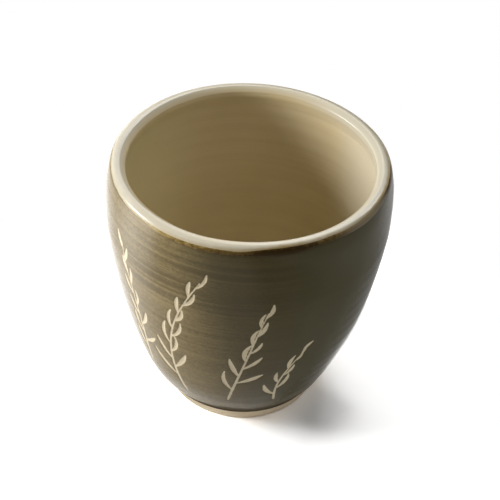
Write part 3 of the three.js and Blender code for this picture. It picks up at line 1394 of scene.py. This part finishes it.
@dataclass
class IronLine:
    """Narrow brown bead between the slip and the lip glaze, wide where it holds much iron."""

    edge: LipEdge
    waver: Waver
    finish: IronFinish = field(default_factory=IronFinish)
    columns: int = 720
    rows: int = 12
    tuck: float = 0.30 * MM
    proud: float = 0.06 * MM
    sunk: float = 0.30 * MM
    edge_sunk: float = 0.03 * MM
    least_proud: float = 0.01 * MM
    ragged: float = 0.22 * MM

    def build(self) -> bpy.types.Object:
        """Make the bead: a low arch, proud sin(pi v) times its iron over the wall, with a sunk back.

        Returns:
            The piece.
        """
        angle = even_angles(self.columns)
        top = self.edge.run(angle)[:, None] + self.tuck
        width = self.edge.width(angle) + self.ragged * soft_ripple(angle, 70, 41)
        bottom = top - self.tuck - width[:, None]
        share = np.linspace(0.0, 1.0, self.rows)[None, :]
        front = bottom + (top - bottom) * share
        iron = self.edge.iron(angle)[:, None]
        arch = self.proud * iron * np.sin(math.pi * share) - self.edge_sunk * iron + self.least_proud
        run = np.hstack([front, top, bottom])
        lift = np.hstack([arch, np.full((angle.size, 2), -self.sunk)])
        points = self.edge.form.section().lifted(angle, run, lift)
        piece = turned_mesh("iron_break_line", self.waver.bend(points, self.edge.form.height), Ends.LOOP)
        depth = kept((top - run) / (top - bottom))
        point_values(piece, "iron", iron * (0.70 + 0.45 * depth))
        piece.data.materials.append(self.finish.material())
        return settle(piece, Slot.IRON_LINE, "iron_line")


@dataclass
class LipGlaze:
    """Pale glaze dipped over the lip, with a soft edge outside and a faint step inside."""

    edge: LipEdge
    waver: Waver
    finish: LipFinish = field(default_factory=LipFinish)
    columns: int = 480
    rows: int = 110
    back_rows: int = 16
    inner_height: float = 80.0 * MM
    inner_waver: float = 0.35 * MM
    proud: float = 0.05 * MM
    thickness: float = 0.5 * MM
    outer_taper: float = 0.5 * MM
    inner_taper: float = 2.6 * MM
    ridge_lift: float = 0.085 * MM
    ridge_width: float = 0.34 * MM
    ridge_places: tuple[float, ...] = (3.8 * MM, 5.9 * MM)
    ridge_shift: float = 0.55 * MM
    shift_angle: float = 2.75
    shift_reach: float = 0.65
    groove_height: float = 82.3 * MM
    groove_waver: float = 0.3 * MM
    groove_depth: float = 0.11 * MM
    groove_width: float = 1.1 * MM

    def build(self) -> bpy.types.Object:
        """Make the glaze: proud of the wall in its middle and thinning to nothing at both edges.

        Two fine ridges run round the lip and a soft groove round its inside, each a bell curve of the run.

        Returns:
            The piece.
        """
        form = self.edge.form
        angle = even_angles(self.columns)
        shift = self.ridge_shift * bell(angle - self.shift_angle, self.shift_reach)
        shoulder = form.run_outside(form.shoulder) + shift[:, None]
        outer = self.edge.run(angle)[:, None]
        inner = form.run_inside(self.inner_height) + self.inner_waver * soft_ripple(angle, 4, 51)[:, None]
        front = outer + (inner - outer) * np.linspace(0.0, 1.0, self.rows)[None, :]
        back = outer + (inner - outer) * np.linspace(1.0, 0.0, self.back_rows)[None, :]
        swell = kept(np.minimum((front - outer) / self.outer_taper, (inner - front) / self.inner_taper))
        arch = self.proud * swell * (2.0 - swell)
        for place in self.ridge_places:
            arch += self.ridge_lift * bell(front - shoulder - place, self.ridge_width)
        waver = self.groove_waver * soft_ripple(angle, 4, 52)[:, None]
        groove = form.run_inside(self.groove_height) + waver
        arch -= self.groove_depth * bell(front - groove, self.groove_width)
        run = np.hstack([front, back])
        lift = np.hstack([arch, np.full(back.shape, -self.thickness)])
        points = form.section().lifted(angle, run, lift)
        piece = turned_mesh("dipped_lip_glaze", self.waver.bend(points, form.height), Ends.LOOP)
        point_values(piece, "edge", (run - outer) / MM)
        point_values(piece, "over", (run - shoulder) / MM)
        point_values(piece, "iron", self.edge.iron(angle)[:, None] + 0.0 * run)
        point_values(piece, "thin_glaze_and_shade", self.edge.thin_glaze_and_shade(angle)[:, None] + 0.0 * run)
        piece.data.materials.append(self.finish.material())
        return settle(piece, Slot.LIP_GLAZE, "lip_glaze")


@dataclass
class Liner:
    """Cream glaze inside, over the finger rings of the throwing."""

    form: PotForm
    waver: Waver
    finish: LinerFinish = field(default_factory=LinerFinish)
    columns: int = 320
    rows: int = 200
    back_rows: int = 14
    top_height: float = 80.6 * MM
    ring_depth: float = 0.03 * MM
    ring_pitch: float = 6.4 * MM
    fade_below_lip: float = 14.0 * MM
    fade_at_axis: float = 9.0 * MM
    thickness: float = 0.44 * MM

    def build(self) -> bpy.types.Object:
        """Make the liner: a skin from the lip glaze to the axis, with spiral rings, over a plain back.

        The lift is ring_depth sin(2 pi run / ring_pitch + angle), fading out below the lip and at the axis.

        Returns:
            The piece.
        """
        section = self.form.section()
        angle = even_angles(self.columns)
        top = self.form.run_inside(self.top_height)
        end = float(section.runs()[-1])
        back = np.linspace(end, top, self.back_rows)
        front = np.linspace(top, end, self.rows)
        fading = kept((front - top) / self.fade_below_lip) * kept((end - front) / self.fade_at_axis)
        spiral = np.sin(FULL_TURN * front[None, :] / self.ring_pitch + angle[:, None])
        rings = self.ring_depth * fading[None, :] * spiral
        lift = np.hstack([np.full((angle.size, back.size), -self.thickness), rings])
        points = section.lifted(angle, np.concatenate([back, front]), lift)
        points = self.waver.bend(points, self.form.height)
        piece = turned_mesh("cream_liner_glaze", points, Ends.BOTH_ON_AXIS)
        piece.data.materials.append(self.finish.material())
        return settle(piece, Slot.LINER_GLAZE, "liner_glaze")


@dataclass
class Clay:
    """Bare clay: the thrown body under the coats, and the turned foot ring."""

    form: PotForm
    waver: Waver
    finish: ClayFinish = field(default_factory=ClayFinish)
    columns: int = 256
    wall_rows: int = 180
    under_rows: int = 90
    coat_depth: float = 0.47 * MM
    foot_radius: float = 25.2 * MM
    foot_width: float = 5.4 * MM
    foot_draft: float = 0.8 * MM
    edge_round: float = 0.9 * MM
    joint: float = 0.02 * MM
    turning_depth: float = 0.04 * MM
    turning_pitch: float = 1.7 * MM
    turning_fade: float = 1.0 * MM

    def build_body(self, material: bpy.types.Material) -> bpy.types.Object:
        """Make the body: flat and scored by the turning tool under the floor, elsewhere under the coats.

        The underside is lowered by turning_depth times the squared sine of its radius over turning_pitch.

        Args:
            material: Finish of bare clay.

        Returns:
            The piece.
        """
        section = self.form.section()
        run = np.linspace(0.0, float(section.runs()[-1]), self.wall_rows)
        radius, height, out_radial, out_upright = section.at(run)
        under_radius = np.linspace(0.0, self.form.coat_line_radius - self.coat_depth, self.under_rows)
        score = self.turning_depth * np.sin(math.pi * under_radius / self.turning_pitch) ** 2
        score *= under_radius < self.foot_radius - self.foot_width
        radii = np.concatenate([under_radius, radius - self.coat_depth * out_radial])
        heights = np.concatenate([self.form.foot_height - score, height - self.coat_depth * out_upright])
        radii[-1] = 0.0
        points = turned_grid(even_angles(self.columns), radii[None, :], heights[None, :])
        points = self.waver.bend(points, self.form.height)
        piece = turned_mesh("thrown_clay_body", points, Ends.BOTH_ON_AXIS)
        piece.data.materials.append(material)
        return settle(piece, Slot.STONEWARE, "thrown_body")

    def foot_outline(self) -> np.ndarray:
        """Section of the ring: a flat tread with rounded edges, a flared outside and a drafted recess."""
        inside = self.foot_radius - self.foot_width
        top = self.form.foot_height - self.joint
        quarter = np.linspace(0.0, math.pi / 2, 7)
        rounding = self.edge_round * np.stack([np.sin(quarter), 1.0 - np.cos(quarter)], axis=-1)
        outer_edge = np.array([self.foot_radius - self.edge_round, 0.0]) + rounding
        inner_edge = np.array([inside + self.edge_round, 0.0]) + rounding[::-1] * np.array([-1.0, 1.0])
        outer_top = np.array([self.form.coat_line_radius - self.coat_depth, top])
        inner_top = np.array([inside - self.foot_draft, top])
        wall = np.linspace(outer_edge[-1], outer_top, 26)[1:]
        across = np.linspace(outer_top, inner_top, 6)[1:]
        recess = np.linspace(inner_top, inner_edge[0], 18)[1:-1]
        tread = np.linspace(inner_edge[-1], outer_edge[0], 14)[1:-1]
        return np.vstack([outer_edge, wall, across, recess, inner_edge, tread])

    def build_foot(self, material: bpy.types.Material) -> bpy.types.Object:
        """Make the ring, its outside scored by turning_depth times a spiral sine of its height.

        Args:
            material: Finish of bare clay.

        Returns:
            The piece.
        """
        radius, height = self.foot_outline().T[:, None, :]
        angle = even_angles(self.columns)
        share = kept((height - self.edge_round) / self.turning_fade)
        share *= kept((self.form.foot_height - height) / self.turning_fade)
        spiral = np.sin(FULL_TURN * height / self.turning_pitch + angle[:, None])
        points = turned_grid(angle, radius + self.turning_depth * share * spiral, height)
        piece = turned_mesh("turned_foot_ring", self.waver.bend(points, self.form.height), Ends.LOOP)
        piece.data.materials.append(material)
        return settle(piece, Slot.STONEWARE, "foot_ring")

    def build(self) -> None:
        """Make both pieces with one finish."""
        material = self.finish.material()
        self.build_body(material)
        self.build_foot(material)


# Studio


@dataclass(frozen=True)
class Lamp:
    """A square soft light: its place, side and watts, where it faces, and if it only shows in gloss."""

    name: str
    place: Vector
    size: float
    power: float
    aim: Vector
    only_mirrored: bool = False

    def hang(self) -> None:
        """Put the light into the scene."""
        data = bpy.data.lights.new(self.name, "AREA")
        data.shape = "SQUARE"
        data.size = self.size
        data.energy = self.power
        lamp = bpy.data.objects.new(self.name, data)
        lamp.visible_diffuse = not self.only_mirrored
        bpy.context.scene.collection.objects.link(lamp)
        lamp.location = self.place
        lamp.rotation_mode = "QUATERNION"
        lamp.rotation_quaternion = (self.aim - self.place).to_track_quat("-Z", "Y")


POT_MIDDLE = Vector((0.0, 0.0, 0.0445))
LIP_MIDDLE = Vector((0.0, 0.0, 0.089))
LAMPS = (
    Lamp("left_softbox", Vector((-0.5606, -0.0343, 0.2566)), 0.22, 4.3, POT_MIDDLE),
    Lamp("high_softbox", Vector((0.1466, 0.690, 1.0153)), 0.6, 7.2, POT_MIDDLE),
    Lamp("right_fill", Vector((0.797, -0.290, 0.893)), 1.0, 2.2, POT_MIDDLE),
    Lamp("glint", Vector((0.564, 0.672, 0.907)), 0.16, 3.0, LIP_MIDDLE, True),
)


@dataclass
class Studio:
    """White floor, soft lights at the left, above and at the right, a glint, and the photograph's camera.

    The floor has one brightness as a light, one to the camera and one where glaze mirrors it.
    """

    lamps: tuple[Lamp, ...] = LAMPS
    room_strength: float = 0.12
    camera_elevation: float = math.radians(41.06)
    camera_distance: float = 425.7 * MM
    camera_roll: float = math.radians(2.907)
    frame_pixels: float = 500.0
    focal_pixels: float = 1304.8
    aim_pixel: tuple[float, float] = (245.86, 268.28)
    sensor_width: float = 36.0
    floor_size: float = 6.0
    floor_colour: Colour = (0.97, 0.97, 0.97)
    # To the camera, floor_seen is the painted shadow band by the foot, and floor_seen_far the floor round
    # it.
    floor_seen: Colour = (1.36, 1.36, 1.36)
    floor_seen_far: Colour = (1.84, 1.84, 1.84)
    shade_along: Triple = (0.766, -0.643, 0.0)
    shade_across: Triple = (0.643, 0.766, 0.0)
    shade_shift: float = 3.0 * MM
    shade_length: Span = (36.0 * MM, 48.0 * MM)
    shade_width: Span = (5.0 * MM, 13.0 * MM)
    white_radius: Span = (60.0 * MM, 120.0 * MM)
    mirrored_right: float = 0.60
    mirrored_left: float = 1.5
    left_side: Span = (45.0 * MM, -5.0 * MM)
    mirrored_beam: float = 4.0
    beam_front: Span = (0.62, 0.30)
    beam_back: Span = (-0.35, 0.15)
    beam_reach: Span = (-50.0 * MM, -180.0 * MM)
    mirrored_far: float = 0.7
    far_side: Span = (85.0 * MM, 160.0 * MM)
    mirrored_rim: float = 1.0
    rim_slant: float = 0.3
    rim_right: Span = (52.0 * MM, 40.0 * MM)
    rim_left: Span = (15.0 * MM, 30.0 * MM)
    rim_front: Span = (-12.0 * MM, 6.0 * MM)
    mirrored_most: float = 6.0

    def build_camera(self) -> None:
        """Set the camera: aimed at the pot's middle, rolled, then turned so that it lands on its pixel."""
        data = bpy.data.cameras.new("photo_camera")
        data.sensor_width = self.sensor_width
        data.lens = self.focal_pixels / self.frame_pixels * self.sensor_width
        camera = bpy.data.objects.new("photo_camera", data)
        bpy.context.scene.collection.objects.link(camera)
        half = self.frame_pixels / 2
        yaw = math.atan2(half - self.aim_pixel[0], self.focal_pixels)
        pitch = math.atan2(self.aim_pixel[1] - half, self.focal_pixels)
        turn = Matrix.Rotation(math.pi / 2 - self.camera_elevation, 4, "X")
        turn = turn @ Matrix.Rotation(self.camera_roll, 4, "Z")
        turn = turn @ Matrix.Rotation(-yaw, 4, "Y") @ Matrix.Rotation(pitch, 4, "X")
        back = Vector((0.0, -math.cos(self.camera_elevation), math.sin(self.camera_elevation)))
        camera.matrix_world = Matrix.Translation(POT_MIDDLE + back * self.camera_distance) @ turn
        bpy.context.scene.camera = camera

    def mirrored_floor(self, tree: ShaderTree) -> Wire:
        """Colour of the floor as glaze mirrors it: paler at the left, with a bright wedge there.

        Args:
            tree: The floor's tree.

        Returns:
            The colour, from smooth steps of X, of Y and of Y over X.
        """
        across = tree.axis("X")
        along = tree.axis("Y")
        slope = along / across
        wedge = tree.ease(slope, *self.beam_front) * tree.ease(slope, *self.beam_back)
        wedge = wedge * tree.ease(across, *self.beam_reach) * self.mirrored_beam
        left = tree.ease(across, *self.left_side) * (self.mirrored_left - self.mirrored_right)
        far_right = tree.ease(across, *self.far_side) * self.mirrored_far
        rim = tree.ease(across - along * self.rim_slant, *self.rim_right) * self.mirrored_rim
        rim = rim * tree.ease(across, *self.rim_left) * tree.ease(along, *self.rim_front)
        share = (wedge + left + far_right + rim + self.mirrored_right) / self.mirrored_most
        return tree.mix((0.0, 0.0, 0.0), (self.mirrored_most,) * 3, share)

    def floor_material(self) -> bpy.types.Material:
        """Finish of the floor: brighter to the camera, darker to it in a band where a shadow is painted by
        the foot, white far out, and clear when seen from below.
        """
        tree = ShaderTree("white_floor")
        seen = tree.node("ShaderNodeLightPath", {}, {}, "Is Camera Ray")
        mirrored = tree.node("ShaderNodeLightPath", {}, {}, "Is Glossy Ray")
        dot = {"operation": "DOT_PRODUCT"}
        ahead = tree.node("ShaderNodeVectorMath", dot, {0: tree.place(), 1: self.shade_along}, "Value")
        beside = tree.node("ShaderNodeVectorMath", dot, {0: tree.place(), 1: self.shade_across}, "Value")
        # Painted shadow: to the camera the floor is darker in a band from the foot towards the front right.
        narrow = 1 - tree.ease(abs(beside - self.shade_shift), *self.shade_width)
        shade = (1 - tree.ease(ahead, *self.shade_length)) * narrow
        colour = tree.mix(self.floor_colour, tree.mix(self.floor_seen_far, self.floor_seen, shade), seen)
        colour = tree.mix(colour, self.mirrored_floor(tree), mirrored)
        cloth = tree.node("ShaderNodeBsdfDiffuse", {}, {"Color": colour})
        white = tree.node("ShaderNodeEmission", {}, {"Color": (1.0, 1.0, 1.0), "Strength": 1.0})
        radius = tree.node("ShaderNodeVectorMath", {"operation": "LENGTH"}, {0: tree.place()}, "Value")
        far = tree.ease(radius, *self.white_radius) * seen
        surface = tree.node("ShaderNodeMixShader", {}, {0: far, 1: cloth, 2: white})
        below = tree.node("ShaderNodeNewGeometry", {}, {}, "Backfacing")
        clear = tree.node("ShaderNodeBsdfTransparent", {}, {})
        return tree.close(tree.node("ShaderNodeMixShader", {}, {0: below, 1: surface, 2: clear}))

    def build_floor(self) -> None:
        """Lay the floor, a square about the pot."""
        half = self.floor_size / 2
        mesh = bpy.data.meshes.new("floor")
        corners = [(-half, -half, 0.0), (half, -half, 0.0), (half, half, 0.0), (-half, half, 0.0)]
        mesh.from_pydata(corners, [], [(0, 1, 2, 3)])
        floor = bpy.data.objects.new("floor", mesh)
        bpy.context.scene.collection.objects.link(floor)
        mesh.materials.append(self.floor_material())

    def build_room(self) -> None:
        """Set the room round the floor: dim as a light, and white to the camera."""
        world = bpy.data.worlds.new("room")
        world.use_nodes = True
        nodes = world.node_tree.nodes
        links = world.node_tree.links
        dim = nodes["Background"]
        dim.inputs["Color"].default_value = (1.0, 1.0, 1.0, 1.0)
        dim.inputs["Strength"].default_value = self.room_strength
        white = nodes.new("ShaderNodeBackground")
        mix = nodes.new("ShaderNodeMixShader")
        path = nodes.new("ShaderNodeLightPath")
        links.new(path.outputs["Is Camera Ray"], mix.inputs[0])
        links.new(dim.outputs[0], mix.inputs[1])
        links.new(white.outputs[0], mix.inputs[2])
        links.new(mix.outputs[0], nodes["World Output"].inputs["Surface"])
        bpy.context.scene.world = world

    def build(self) -> None:
        """Set up the camera, the floor, the lights and the plain view transform."""
        self.build_camera()
        self.build_floor()
        for lamp in self.lamps:
            lamp.hang()
        self.build_room()
        bpy.context.scene.view_settings.view_transform = "Standard"


def main() -> None:
    """Build the studio and the tumbler's pieces in order."""
    logging.basicConfig(level=logging.INFO, format="%(name)s: %(message)s")
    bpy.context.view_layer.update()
    form = PotForm.from_solids()
    waver = Waver()
    edge = LipEdge(form)
    Studio().build()
    Clay(form, waver).build()
    SlipCoat(edge, waver).build()
    IronLine(edge, waver).build()
    LipGlaze(edge, waver).build()
    Liner(form, waver).build()


if __name__ == "__main__":
    main()
